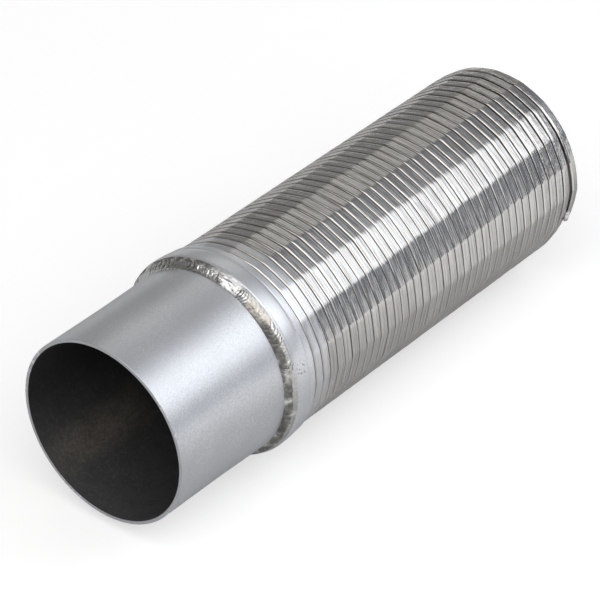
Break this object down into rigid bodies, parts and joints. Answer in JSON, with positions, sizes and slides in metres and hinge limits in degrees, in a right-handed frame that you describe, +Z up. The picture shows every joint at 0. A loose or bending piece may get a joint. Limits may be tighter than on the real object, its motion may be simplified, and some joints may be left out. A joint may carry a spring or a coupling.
{
  "type": "exhaust flex pipe",
  "caption": "Steel exhaust tube stub welded to a flexible hose wound from interlocked metal strip, with a collar over the joint.",
  "frame": {"origin": "centre of the connector tube's open end, on the pipe's axis", "axes": "+X along the pipe from the tube's open end to the hose's raw end, +Z up; the pipe lies on its side"},
  "size_m": [0.3305, 0.1118, 0.1118],
  "materials": {
    "tube_steel": "satin aluminised steel, faintly mottled, soot-dark inside",
    "collar_steel": "satin aluminised sheet steel",
    "weld_metal": "bright rippled weld metal",
    "hose_steel": "bright rolled stainless strip, fine lines across the turns"
  },
  "bodies": {
    "root": {"connector_tube": "tube_steel", "end_collar": "collar_steel", "weld_bead": "weld_metal", "wound_hose": "hose_steel", "tack_weld": "weld_metal"}
  },
  "joints": []
}
